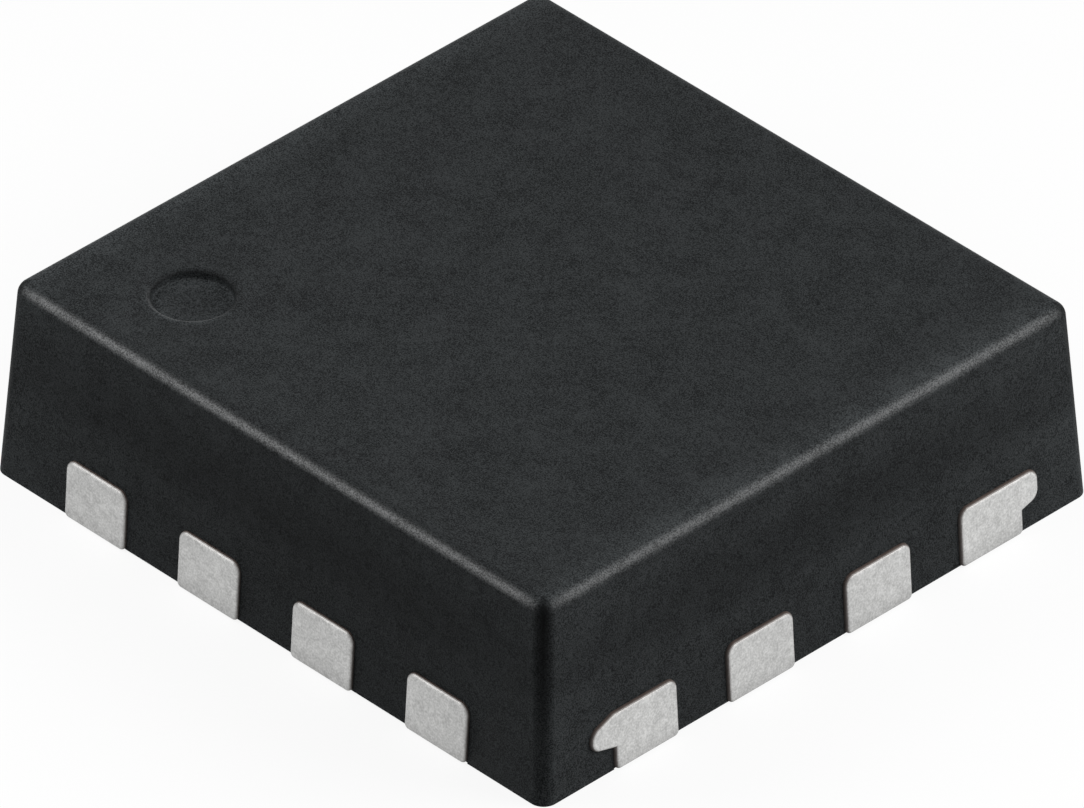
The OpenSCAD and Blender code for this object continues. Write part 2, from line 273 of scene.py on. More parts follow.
# a block whose sides and upright corners lean in together, with a round at its top edge;
# the core is the rectangle on which the corners' rounds are centred where the top round starts
def mouldingTree():
    sheet, size = startTree("drafted block", {
        "Core length": 1.0, "Core width": 1.0, "Height": 1.0, "Side reach": 0.1, "Draft": 0.0,
        "Edge radius": 0.02, "Corner steps": 12, "Edge steps": 12, "Material": None})
    cornerSteps, edgeSteps = size["Corner steps"], size["Edge steps"]
    draft, radius = size["Draft"], size["Edge radius"]
    columns = 4.0 * (cornerSteps + 1.0) + 1.0
    rows = edgeSteps + 4.0
    grid = sheet.add("GeometryNodeMeshGrid", sockets={
        "Size X": 1.0, "Size Y": 1.0, "Vertices X": columns, "Vertices Y": rows})
    place = sheet.add("GeometryNodeInputPosition")
    spot = sheet.add("ShaderNodeSeparateXYZ", sockets={0: place})
    column = spot.calc("ROUND", (spot + 0.5) * (columns - 1.0))
    row = spot.calc("ROUND", (spot.also("Y") + 0.5) * (rows - 1.0))
    quarter = spot.calc("FLOOR", (column + shaping["slack"]) / (cornerSteps + 1.0))
    share = (column - quarter * (cornerSteps + 1.0)) / cornerSteps
    angle = (quarter + share) * quarterTurn
    middle = (quarter + 0.5) * quarterTurn

    # rows: foot at the core, foot at the side, the round from its foot to its top, top at the
    # core; one row is told from the next half way between them
    turn = spot.calc("MINIMUM", spot.calc("MAXIMUM", (row - 2.0) / edgeSteps, 0.0), 1.0)
    tilt = draft + turn * (quarterTurn - draft)
    roundHeight = size["Height"] - radius
    lean = roundHeight * spot.calc("TANGENT", draft)
    onSide = row < 1.5
    onArc = (row > 1.5) * (row < edgeSteps + 2.5)
    arcCentre = size["Side reach"] - radius / spot.calc("COSINE", draft)
    arcReach = arcCentre + radius * spot.calc("COSINE", tilt)
    reach = onSide * (row > 0.5) * size["Side reach"] + onArc * arcReach
    height = (1.0 - onSide) * (roundHeight + radius * spot.calc("SINE", tilt))
    halfLength = size["Core length"] / 2.0 + onSide * lean
    halfWidth = size["Core width"] / 2.0 + onSide * lean
    signX = spot.calc("SIGN", spot.calc("COSINE", middle))
    signY = spot.calc("SIGN", spot.calc("SINE", middle))
    x = signX * halfLength + reach * spot.calc("COSINE", angle)
    y = signY * halfWidth + reach * spot.calc("SINE", angle)
    place = sheet.add("ShaderNodeCombineXYZ", sockets={"X": x, "Y": y, "Z": height})
    shell = sheet.add("GeometryNodeSetPosition", sockets={"Geometry": grid, "Position": place})

    def cap(spread):
        return sheet.add("GeometryNodeMeshGrid", sockets={
            "Size X": size["Core length"] + spread, "Size Y": size["Core width"] + spread,
            "Vertices X": 2, "Vertices Y": 2})

    lift = sheet.add("ShaderNodeCombineXYZ", sockets={"Z": size["Height"]})
    top = sheet.add("GeometryNodeTransform", sockets={"Geometry": cap(0.0), "Translation": lift})
    foot = sheet.add("GeometryNodeFlipFaces", sockets={0: cap(2.0 * lean)})
    joined = sheet.add("GeometryNodeJoinGeometry", sockets={0: [shell, top, foot]})
    closed = sheet.add("GeometryNodeMergeByDistance", sockets={
        "Geometry": joined, "Distance": shaping["same"]})
    return endTree(sheet, closed, size["Material"])


# one etched lead, its end leaning with the mould's side, set out at its places round the chip;
# Kind 0 is the leads of the Y sides, 1 the middle ones of the X sides, 2 the end ones there
def leadTree(prism):
    over, perSide = shaping["over"], float(leadsPerSide)
    sheet, size = startTree("etched leads", {
        "Width": 0.34, "Thickness": 0.27, "Land length": 0.26, "Lip length": 0.05,
        "Etch height": 0.11, "Etch radius": 0.05, "Top radius": 0.03, "Foot radius": 0.02,
        "Tip radius": 0.08, "Draft": 0.0, "Pitch": 0.65, "End shift": 0.02, "Reach X": 1.6,
        "Reach Y": 1.5, "Kind": 0, "Material": None})

    def block(turn, at, sizes):
        shape = sheet.add("GeometryNodeGroup", {"node_tree": prism}, sizes)
        where = sheet.add("ShaderNodeCombineXYZ", sockets=dict(zip("XYZ", at)))
        return sheet.add("GeometryNodeTransform", sockets={
            "Geometry": shape, "Translation": where, "Rotation": turn})

    length = size["Land length"] + size["Lip length"]
    width, thickness = size["Width"], size["Thickness"]
    lip, etch = size["Lip length"] + over, size["Etch height"] + over
    endOn = block((quarterTurn, 0, 0), (0.0, length, thickness / 2.0), {
        "Width": width, "Height": thickness, "Depth": length,
        "High radius": size["Top radius"], "Low radius": size["Foot radius"]})
    fromAbove = block((0, 0, 0), (0.0, (length - over) / 2.0, -over), {
        "Width": width, "Height": length + over, "Depth": thickness + 2 * over,
        "High radius": size["Tip radius"]})
    underLip = (-1.0 * width, size["Land length"] + lip / 2.0, (size["Etch height"] - over) / 2.0)
    etched = block((quarterTurn, 0, quarterTurn), underLip, {
        "Width": lip, "Height": etch, "Depth": width * 2.0, "High radius": size["Etch radius"]})
    bar = sheet.add("GeometryNodeMeshBoolean", {"operation": "INTERSECT", "solver": "EXACT"},
                    {"Mesh 2": [endOn, fromAbove]})
    lead = sheet.add("GeometryNodeMeshBoolean", {"operation": "DIFFERENCE", "solver": "EXACT"},
                     {"Mesh 1": bar, "Mesh 2": [etched]})

    # the end face lies at y = 0 and leans back with height, as the mould's side does
    place = sheet.add("GeometryNodeInputPosition")
    spot = sheet.add("ShaderNodeSeparateXYZ", sockets={0: place})
    isEnd = spot.also("Y") < shaping["endFace"]
    lean = isEnd * spot.also("Z") * spot.calc("TANGENT", size["Draft"])
    back = sheet.add("ShaderNodeCombineXYZ", sockets={"Y": lean})
    leaning = sheet.add("GeometryNodeSetPosition", sockets={"Geometry": lead, "Offset": back})

    # side 0 is -Y, then anticlockwise; count runs along the leads of a side
    index = sheet.add("GeometryNodeInputIndex")
    side = index.calc("FLOOR", index / perSide + shaping["slack"])
    count = index - side * perSide
    onX = side % 2.0
    isFirst, isLast = count < 0.5, count > perSide - 1.5
    shift = onX * (isFirst - isLast) * size["End shift"]
    along = (count - (perSide - 1) / 2) * size["Pitch"] + shift
    reach = onX * size["Reach X"] + (1.0 - onX) * size["Reach Y"]
    turn = side * quarterTurn
    x = along * index.calc("COSINE", turn) + reach * index.calc("SINE", turn)
    y = along * index.calc("SINE", turn) - reach * index.calc("COSINE", turn)
    spot = sheet.add("ShaderNodeCombineXYZ", sockets={"X": x, "Y": y})
    points = sheet.add("GeometryNodePoints", sockets={"Count": 4 * leadsPerSide, "Position": spot})
    kind = onX * (1.0 + isFirst + isLast)
    wanted = index.calc("COMPARE", kind, size["Kind"], shaping["slack"])
    facing = sheet.add("ShaderNodeCombineXYZ", sockets={"Z": turn})
    leads = sheet.add("GeometryNodeInstanceOnPoints", sockets={
        "Points": points, "Selection": wanted, "Instance": leaning, "Rotation": facing})
    return endTree(sheet, leads, size["Material"])


prism = prismTree()
moulding = mouldingTree()
leads = leadTree(prism)


def prismAt(name, width, height, depth, high=0.0, low=0.0, turn=(0, 0, 0), at=(0, 0, 0)):
    obj = grow(name, prism, {
        "Width": width, "Height": height, "Depth": depth, "High radius": high, "Low radius": low})
    obj.data.transform(Matrix.LocRotScale(at, Euler(turn), None))
    return obj


leadSizes = {
    "Width": 0.345, "Thickness": 0.272, "Land length": 0.26, "Lip length": 0.05,
    "Etch height": 0.108, "Etch radius": 0.05, "Top radius": 0.048, "Foot radius": 0.025,
    "Tip radius": 0.08, "Draft": math.radians(3.8), "Pitch": 0.65, "End shift": 0.02,
    "Reach X": 1.593, "Reach Y": 1.533,
}
middleWidth = 0.365  # of the two middle leads of an X side
toEndLead = (leadsPerSide - 1) / 2 * leadSizes["Pitch"]  # along a side, from its middle
# the die pad with its webs and ears; a bite is how far one of them runs into its lead
padSizes = {
    "length": 1.80, "width": 1.70, "lip": 0.06, "cornerRadius": 0.05, "chamfer": 0.28,
    "webWidth": 0.14, "webBite": 0.06, "longEar": 0.125, "shortEar": 0.09, "earDepth": 0.15,
    "earBite": 0.12, "earRise": math.radians(15), "earFall": math.radians(20),
    "earTopRadius": 0.055, "earFootRadius": 0.055, "earSteps": 10,
}


def growLeads(name, kind, width, **others):
    return grow(name, leads, {**leadSizes, "Kind": kind, "Width": width, **others})


# a plate with a chamfer at the lead 1 corner, and the shape that cut it
def padOutline(name, spread, low, high):
    length, width = padSizes["length"] + 2 * spread, padSizes["width"] + 2 * spread
    radius, deep, over = padSizes["cornerRadius"], high - low, shaping["over"]
    plate = prismAt(name, length, width, deep, radius, radius, at=(0, 0, low))
    side = math.sqrt(2) * padSizes["chamfer"]
    corner = prismAt(name + "Corner", side, side, deep + 2 * over, turn=(0, 0, math.pi / 4),
                     at=(-length / 2, -width / 2, low - over))
    return combine(plate, [corner], "DIFFERENCE"), corner


# points round a closed outline of (corner, radius) pairs, anticlockwise;
# its corners may turn either way
def roundedOutline(corners, steps):
    points = []
    for number, (corner, radius) in enumerate(corners):
        before = (corners[number - 1][0] - corner).normalized()
        after = (corners[(number + 1) % len(corners)][0] - corner).normalized()
        half = before.angle(after) / 2
        centre = corner + (before + after).normalized() * radius / math.sin(half)
        start = corner + before * radius / math.tan(half) - centre
        sweep = math.copysign(math.pi - 2 * half, after.cross(before))
        for step in range(steps + 1 if radius else 1):
            turn = sweep * step / steps
            points.append(centre + Matrix.Rotation(turn, 2) @ start)
    return points


# an end lead's ear: outwards from the flank and up from the etched level
def buildEar(side, end, reach, fall):
    etch, bite = leadSizes["Etch height"], padSizes["earBite"]
    high = leadSizes["Thickness"] - etch
    flank = toEndLead - leadSizes["End shift"] + leadSizes["Width"] / 2
    outline = roundedOutline([
        (Vector((-bite, 0)), 0), (Vector((0, 0)), 0),
        (Vector((reach, reach * math.tan(padSizes["earRise"]))), padSizes["earFootRadius"]),
        (Vector((reach, high - reach * math.tan(fall))), padSizes["earTopRadius"]),
        (Vector((0, high)), 0), (Vector((-bite, high)), 0)], padSizes["earSteps"])
    out = side * leadSizes["Reach X"]
    front = [(out, end * (flank + point.x), etch + point.y) for point in outline]
    back = [(x - side * padSizes["earDepth"], y, z) for x, y, z in front]
    count = len(outline)
    walls = [(n, (n + 1) % count, count + (n + 1) % count, count + n) for n in range(count)]
    ends = [tuple(reversed(range(count))), tuple(range(count, 2 * count))]
    ear = newObject("ear")
    ear.data.from_pydata(front + back, [], ends + walls)
    if side * end > 0:
        ear.data.flip_normals()
    return ear


# the half-thick web from a corner of the die pad to the inner end of an end lead
def buildWeb(side, end):
    length = leadSizes["Land length"] + leadSizes["Lip length"]
    thick, etch, width = leadSizes["Thickness"], leadSizes["Etch height"], padSizes["webWidth"]
    start = Vector((side * (padSizes["length"] / 2 - width), end * (padSizes["width"] / 2 - width)))
    stop = Vector((side * (leadSizes["Reach X"] - length + padSizes["webBite"]),
                   end * (toEndLead - leadSizes["End shift"])))
    run, middle = stop - start, (start + stop) / 2
    return prismAt("web", run.length, width, thick - etch,
                   turn=(0, 0, math.atan2(run.y, run.x)), at=(middle.x, middle.y, etch))


def buildDiePad():
    etch, thick = leadSizes["Etch height"], leadSizes["Thickness"]
    pad, corner = padOutline("diePad", 0, 0, thick)
    rim, rimCorner = padOutline("padRim", padSizes["lip"], etch, thick)
    longEar, shortEar = (padSizes["longEar"], padSizes["earFall"]), (padSizes["shortEar"], 0)
    parts = [rim, growLeads("endLeads", 2, leadSizes["Width"], Draft=0.0)]
    for side in (-1, 1):
        for end in (-1, 1):
            ear = longEar if end == -side else shortEar
            parts += [buildEar(side, end, *ear), buildWeb(side, end)]
    combine(pad, parts, "UNION")
    # the end faces of leads and ears lean in together
    for vertex in pad.data.vertices:
        if abs(vertex.co.x) > leadSizes["Reach X"] - shaping["near"]:
            lean = vertex.co.z * math.tan(leadSizes["Draft"])
            vertex.co.x -= math.copysign(lean, vertex.co.x)
    return pad, parts + [corner, rimCorner]


sideLeads = growLeads("sideLeads", 0, leadSizes["Width"])
middleLeads = growLeads("middleLeads", 1, middleWidth)
diePad, spare = buildDiePad()
leadFrame = (sideLeads, middleLeads, diePad)
print("lead frame: %s faces" % [len(metal.data.polygons) for metal in leadFrame])


mouldSizes = {
    "length": 3.15, "width": 3.03, "height": 0.925, "draft": math.radians(3.8),
    "edgeRadius": 0.065, "cornerSteps": 16, "edgeSteps": 14, "relief": 0.006,
    "dimpleDiameter": 0.33, "dimpleDepth": 0.045, "dimpleFromX": 0.63, "dimpleFromY": 0.51,
    "dimpleFloorRadius": 0.01, "dimpleRimRadius": 0.025, "dimpleSteps": 6, "dimpleTurns": 96,
}


# half the length and half the width of the rectangle on which the top rounds are centred
def topCore():
    mould = mouldSizes
    lean = (mould["height"] - mould["edgeRadius"]) * math.tan(mould["draft"])
    inset = lean + mould["edgeRadius"] / math.cos(mould["draft"])
    return mould["length"] / 2 - inset, mould["width"] / 2 - inset


def dimpleCentre():
    mould = mouldSizes
    x, y = mould["dimpleFromX"] - mould["length"] / 2, mould["dimpleFromY"] - mould["width"] / 2
    return x, y, mould["height"]


# what the dimple takes off: a shallow round recess with a rounded floor edge and rim
def buildDimple():
    mould = mouldSizes
    wall, rim, deep = mould["dimpleDiameter"] / 2, mould["dimpleRimRadius"], mould["dimpleDepth"]
    above = deep + shaping["over"]
    profile = roundedOutline([
        (Vector((0, 0)), 0), (Vector((wall, 0)), mould["dimpleFloorRadius"]),
        (Vector((wall, deep)), rim), (Vector((wall + rim, deep)), 0),
        (Vector((wall + rim, above)), 0), (Vector((0, above)), 0)], mould["dimpleSteps"])
    ring = [point for point in profile if point.x > 0]
    count, turns = len(ring), mould["dimpleTurns"]
    points = [Vector((0, 0, 0)), Vector((0, 0, above))]
    for turn in range(turns):
        spin = Matrix.Rotation(2 * math.pi * turn / turns, 3, "Z")
        points += [spin @ Vector((point.x, 0, point.y)) for point in ring]
    faces = []
    for turn in range(turns):
        here, there = 2 + turn * count, 2 + (turn + 1) % turns * count
        faces += [(0, there, here), (1, here + count - 1, there + count - 1)]
        faces += [(here + n, there + n, there + n + 1, here + n + 1) for n in range(count - 1)]
    dimple = newObject("dimple")
    dimple.data.from_pydata(points, [], faces)
    dimple.data.transform(Matrix.Translation(Vector(dimpleCentre()) - Vector((0, 0, deep))))
    return dimple


# the body with its dimple and its stepped underside, cut out round the whole lead frame
def buildMould():
    mould, over = mouldSizes, shaping["over"]
    halfX, halfY = topCore()
    body = grow("mouldBody", moulding, {
        "Core length": 2 * halfX, "Core width": 2 * halfY, "Height": mould["height"],
        "Draft": mould["draft"], "Side reach": mould["edgeRadius"] / math.cos(mould["draft"]),
        "Edge radius": mould["edgeRadius"], "Corner steps": mould["cornerSteps"],
        "Edge steps": mould["edgeSteps"]})
    reachX = toEndLead + leadSizes["Width"] / 2
    reachY = reachX - leadSizes["End shift"]
    step, low = mould["relief"] + over, (0, 0, -over)
    acrossX = prismAt("reliefX", 2 * reachX, 2 * mould["width"], step, at=low)
    acrossY = prismAt("reliefY", 2 * mould["length"], 2 * reachY, step, at=low)
    cutters = [acrossX, acrossY, buildDimple()]
    combine(body, cutters + list(leadFrame), "DIFFERENCE")
    return body, cutters


mouldBody, cutters = buildMould()
print("moulded body: %d faces" % len(mouldBody.data.polygons))


def newMaterial(name):
    material = bpy.data.materials.new(name)
    material.use_nodes = True
    material.node_tree.nodes.clear()
    return material, Sheet(material.node_tree)


def endMaterial(sheet, sockets):
    shader = sheet.add("ShaderNodeBsdfPrincipled", sockets=sockets)
    sheet.add("ShaderNodeOutputMaterial", sockets={"Surface": shader})


def paint(obj, material):
    obj.data.materials.clear()
    obj.data.materials.append(material)


# grain is in millimetres, so a pattern's Scale is its count to the millimetre
def inMillimetres(sheet):
    place = sheet.add("ShaderNodeTexCoord", out="Object")
    return sheet.add("ShaderNodeVectorMath", {"operation": "SCALE"}, {
        0: place, "Scale": 1 / millimetre})


def noise(sheet, at, scale, detail=2.0, roughness=0.5):
    return sheet.add("ShaderNodeTexNoise", sockets={
        "Vector": at, "Scale": scale, "Detail": detail, "Roughness": roughness})


def attribute(sheet, name):
    return sheet.add("ShaderNodeAttribute", {"attribute_name": name}, out="Fac")


# goes from first to last while the value goes from low to high, and stays there
def ramp(sheet, value, low, high, first=0.0, last=1.0):
    return sheet.add("ShaderNodeMapRange", sockets={
        "Value": value, "From Min": low, "From Max": high, "To Min": first, "To Max": last})


def blend(sheet, factor, first, second, kind="MIX"):
    tones = [(*tone, 1) if isinstance(tone, tuple) else tone for tone in (first, second)]
    return sheet.add("ShaderNodeMix", {"data_type": "RGBA", "blend_type": kind},
                     {0: factor, 6: tones[0], 7: tones[1]}, out=2)


def grainBump(sheet, finish, height):
    return sheet.add("ShaderNodeBump", sockets={
        "Strength": finish["grainStrength"], "Distance": finish["grainHeight"], "Height": height})


# painted highlights and painted shade on the mould's rounds, and how the tin on the leads thins out
paintedLightAndPlating = {
    # the painted highlight lines on the top edges along Y and along X: how strong the line is,
    # where on the round, how narrow, and how fast it fades on a corner's round
    "alongY": (0.34, 0.76, 4), "alongX": (0.85, 0.70, 8), "cornerFall": 3,
    # where along a side its line starts to fade, and what is left of it at the corner
    "fadeFrom": 0.93, "fadeTo": 0.4,
    # how far the painted shade on an upright corner reaches from the foot of the top round, in its
    # radii
    "cornerReach": 3,
    # the painted shade on the dimple's wall, with the shares of its depth at which it is full,
    # starts to fade and is gone, and the painted highlight on its rim, with the side on which
    # that is brightest
    "dimpleWallShade": 0.5, "wallDepths": (0.25, 0.3, 0.8),
    "dimpleRimHighlight": 0.3, "highlightSide": (0.35, -0.94, 0),
    # how fast the tin thins out on X and Y sides, faster on X to dim their top rounds as painted
    # shade, slower on Y to keep theirs bright as painted highlight; from how square a face, and
    # on flanks
    "platingAndShadeX": 3.5, "platingAndShadeY": 0.8, "platingFrom": 0.2, "platingSpan": 0.75, "flankTin": 0.12,
}
mouldFinish = {
    "dark": (0.0056, 0.0063, 0.0067), "light": (0.0355, 0.0388, 0.0402),
    # a near-black for the painted shade at the upright corners and in the dimple's wall, and a
    # light grey for the painted highlight along the top edges
    "bare": (0.0012, 0.0013, 0.0014), "highlightPaint": (0.198, 0.202, 0.204),
    "roughness": 0.55, "patchyRoughness": 0.1, "specular": 0.04,
    # noises as count to the millimetre, detail and roughness, each with its share of the speck
    "filler": (170.0, 1.0, 0.5), "clumps": (34.0, 3.0, 0.6), "mottle": (7.0, 3.0, 0.55),
    "fillerShare": 0.67, "clumpShare": 0.16, "mottleShare": 0.17, "speckRange": (0.40, 0.60),
    "grainHeight": 0.0016 * millimetre, "grainStrength": 0.5, "fillerHeight": 0.6,
    # painted sheen on the top beside its X edges and round the dimple, and painted light on the
    # dimple's floor
    "topDepth": 0.02, "paintedSheen": 0.5, "sheenWidth": 0.16, "sheenPower": 1.8,
    "ring": 0.58, "ringWidth": 0.026, "basinLight": 0.5, "basinStart": 0.09,
    # painted light and shade on the sides: paler at their ends, darker in a band whose place is
    # a share of the height
    "sideTop": 0.03, "sideLift": 0.02, "sideEndLight": 0.33,
    "sideShadeBand": 0.28, "bandPlace": 0.63, "bandReach": 0.20,
    # the painted highlight lines: paint and shine where the speck is darkest, and what its
    # lightest adds
    "linePaint": (0.2, 0.68), "lineShine": (0.5, 0.7), "shineRoughness": 0.40, "shineIor": 1.5,
}


# how much painted light and shade make the skin lighter or darker from place to place, and
# how near to a side's end the place lies
def mouldShading(sheet, at):
    finish, height = mouldFinish, mouldSizes["height"]
    edgeX, edgeY = topCore()
    place = sheet.add("ShaderNodeSeparateXYZ", sockets={0: at})
    x, y = place.calc("ABSOLUTE", place), place.calc("ABSOLUTE", place.also("Y"))
    z = place.also("Z")

    # painted sheen: the top is a little lighter beside its X edges, down to the middle of their
    # rounds, and round the near side of the dimple
    isTop = z > height - finish["topDepth"]
    beside = ramp(sheet, x, edgeX - finish["sheenWidth"], edgeX)
    paintedSheen = x.calc("POWER", beside, finish["sheenPower"]) * isTop * finish["paintedSheen"]
    aside = sheet.add("ShaderNodeVectorMath", {"operation": "SUBTRACT"}, {0: at, 1: dimpleCentre()})
    away = sheet.add("ShaderNodeVectorMath", {"operation": "LENGTH"}, {0: aside}, out="Value")
    along = sheet.add("ShaderNodeVectorMath", {"operation": "DOT_PRODUCT"}, {
        0: aside, 1: paintedLightAndPlating["highlightSide"]}, out="Value")
    wall = mouldSizes["dimpleDiameter"] / 2
    rim = wall + mouldSizes["dimpleRimRadius"]
    near = ramp(sheet, x.calc("ABSOLUTE", away - rim), 0.0, finish["ringWidth"], 1.0, 0.0)
    ring = near * x.calc("MAXIMUM", along / away, 0.0) * isTop * finish["ring"]

    # painted light: the dimple's floor is lighter towards its wall
    outer = ramp(sheet, away, finish["basinStart"], wall)
    basinLight = outer * (away < rim) * (1.0 - isTop) * finish["basinLight"]

    # painted light and shade: the sides are lighter towards the upright corners, with a darker
    # band part way up
    end = x.calc("MINIMUM", x.calc("MINIMUM", x / edgeX, y / edgeY), 1.0)
    roundFoot = height - mouldSizes["edgeRadius"]
    onSide = ramp(sheet, z, roundFoot, height - finish["sideTop"], 1.0, 0.0) * (away > rim)
    offset = (z / height - finish["bandPlace"]) / finish["bandReach"]
    band = x.calc("MAXIMUM", 1.0 - offset * offset, 0.0) * finish["sideShadeBand"]
    side = onSide * (finish["sideLift"] + end * end * end * finish["sideEndLight"] - band)
    return 1.0 + paintedSheen + ring + basinLight + side, end


def mouldMaterial():
    finish = mouldFinish
    material, sheet = newMaterial("mouldBlack")
    at = inMillimetres(sheet)
    filler = noise(sheet, at, *finish["filler"])
    clumps = noise(sheet, at, *finish["clumps"])
    mottle = noise(sheet, at, *finish["mottle"])
    speck = filler * finish["fillerShare"] + clumps * finish["clumpShare"]
    spread = ramp(sheet, speck + mottle * finish["mottleShare"], *finish["speckRange"])
    bump = grainBump(sheet, finish, filler * finish["fillerHeight"] + clumps)

    shading, end = mouldShading(sheet, at)
    skin = blend(sheet, spread, finish["dark"], finish["light"])
    lit = sheet.add("ShaderNodeVectorMath", {"operation": "SCALE"}, {0: skin, "Scale": shading})
    # painted highlight along the top edges and the dimple's rim, in a light colour and a clear
    # coat, fading at the corners
    fade = ramp(sheet, end, paintedLightAndPlating["fadeFrom"], 1.0, 1.0, paintedLightAndPlating["fadeTo"])
    line = attribute(sheet, "paintedHighlight") * fade
    (paintLow, paintMore), (shineLow, shineMore) = finish["linePaint"], finish["lineShine"]
    highlightPaint = blend(sheet, line * (paintLow + paintMore * spread), lit, finish["highlightPaint"])
    # painted shade at the upright corners and in the dimple's wall
    corner = attribute(sheet, "paintedShade")
    endMaterial(sheet, {
        "Base Color": blend(sheet, corner, highlightPaint, finish["bare"]),
        "Roughness": finish["roughness"] + finish["patchyRoughness"] * (mottle - 0.5),
        "Specular IOR Level": finish["specular"], "Normal": bump,
        "Coat Weight": line * (shineLow + shineMore * spread),
        "Coat Roughness": finish["shineRoughness"], "Coat IOR": finish["shineIor"]})
    return material


tinFinish = {
    "dull": (0.40, 0.40, 0.394), "bright": (0.62, 0.62, 0.612),
    "copperAndShade": (0.100, 0.073, 0.061), "tarnishAndShade": (0.046, 0.034, 0.030),
    "roughness": 0.46, "patchyRoughness": 0.16, "specular": 0.2,
    "crystals": (110.0, 1.0, 0.5), "patches": (26.0, 3.0, 0.6), "stain": (4.0, 2.0, 0.5),
    "crystalShare": 0.5, "patchShare": 0.35, "stainShare": 0.15, "speckRange": (0.36, 0.64),
    "footShadeHeight": 0.08, "footShade": 0.80, "grainHeight": 0.0012 * millimetre, "grainStrength": 0.4,
}
# painted light: how light the tin is on the leads of the Y sides, painted darker, on the
# middle ones of the X sides, and on the die pad with the end ones, painted lighter
tinPaintedLight = {"mattTinShadedSide": 0.94, "mattTin": 1.0, "mattTinLitPad": 1.05}


# matt tin where the lead is plated, dull bare copper on its flanks and top, kept dark there
# as painted shade too
def tinMaterial(name):
    finish, tone = tinFinish, tinPaintedLight[name]
    material, sheet = newMaterial(name)
    at = inMillimetres(sheet)
    crystals = noise(sheet, at, *finish["crystals"])
    patches = noise(sheet, at, *finish["patches"])
    stain = noise(sheet, at, *finish["stain"])
    speck = crystals * finish["crystalShare"] + patches * finish["patchShare"]
    spread = ramp(sheet, speck + stain * finish["stainShare"], *finish["speckRange"])
    tin = blend(sheet, spread, finish["dull"], finish["bright"])
    # painted shade: the tin darkens towards its foot, near the floor
    height = sheet.add("ShaderNodeSeparateXYZ", sockets={0: at}, out="Z")
    foot = ramp(sheet, height, 0.0, finish["footShadeHeight"], finish["footShade"] * tone, tone)
    shaded = blend(sheet, 1.0, tin, foot, "MULTIPLY")
    bare = blend(sheet, patches, finish["tarnishAndShade"], finish["copperAndShade"])
    plated = attribute(sheet, "plated")
    endMaterial(sheet, {
        "Base Color": blend(sheet, plated, bare, shaded), "Metallic": plated,
        "Roughness": finish["roughness"] + finish["patchyRoughness"] * (patches - 0.5),
        "Specular IOR Level": finish["specular"],
        "Normal": grainBump(sheet, finish, crystals + patches)})
    return material


dieFinish = {
    "cells": 5.0, "gap": 0.02, "cell": (0.10, 0.11, 0.15), "otherCell": (0.16, 0.15, 0.19),
    "lines": (0.30, 0.29, 0.27), "film": (0.13, 0.12, 0.20), "filmNoise": (2.5, 2.0, 0.5),
    "filmShare": 0.5, "roughness": 0.14, "patchyRoughness": 0.1, "patches": 30.0, "metallic": 0.35,
}


def siliconMaterial():
    finish = dieFinish
    material, sheet = newMaterial("silicon")
    at = inMillimetres(sheet)
    cells = sheet.add("ShaderNodeTexBrick", {"offset": 0.0}, {
        "Vector": at, "Scale": finish["cells"], "Mortar Size": finish["gap"],
        "Color1": (*finish["cell"], 1), "Color2": (*finish["otherCell"], 1),
        "Mortar": (*finish["lines"], 1)})
    film = noise(sheet, at, *finish["filmNoise"]) * finish["filmShare"]
    patches = noise(sheet, at, finish["patches"])
    endMaterial(sheet, {
        "Base Color": blend(sheet, film, cells, finish["film"]), "Metallic": finish["metallic"],
        "Roughness": finish["roughness"] + finish["patchyRoughness"] * patches})
    return material


glueFinish = {
    "flakes": 70.0, "dark": (0.30, 0.30, 0.29), "light": (0.62, 0.62, 0.60), "metallic": 0.6,
    "roughness": 0.4, "patchyRoughness": 0.2, "grainHeight": 0.002 * millimetre,
    "grainStrength": 0.5,
}


def glueMaterial():
    finish = glueFinish
    material, sheet = newMaterial("silverGlue")
    flakes = sheet.add("ShaderNodeTexVoronoi", sockets={
        "Vector": inMillimetres(sheet), "Scale": finish["flakes"]}, out="Color")
    grey = sheet.add("ShaderNodeSeparateColor", sockets={0: flakes})
    endMaterial(sheet, {
        "Base Color": blend(sheet, grey, finish["dark"], finish["light"]),
        "Roughness": finish["roughness"] + finish["patchyRoughness"] * grey,
        "Metallic": finish["metallic"], "Normal": grainBump(sheet, finish, grey)})
    return material


goldFinish = {
    "drawn": (90.0, 2.0, 0.6), "dark": (0.78, 0.50, 0.14), "light": (0.92, 0.68, 0.27),
    "roughness": 0.2, "patchyRoughness": 0.14, "grainHeight": 0.0008 * millimetre,
    "grainStrength": 0.3,
}


def goldMaterial():
    finish = goldFinish
    material, sheet = newMaterial("goldWire")
    drawn = noise(sheet, inMillimetres(sheet), *finish["drawn"])
    endMaterial(sheet, {
        "Base Color": blend(sheet, drawn, finish["dark"], finish["light"]),
        "Roughness": finish["roughness"] + finish["patchyRoughness"] * drawn,
        "Metallic": 1.0, "Normal": grainBump(sheet, finish, drawn)})
    return material


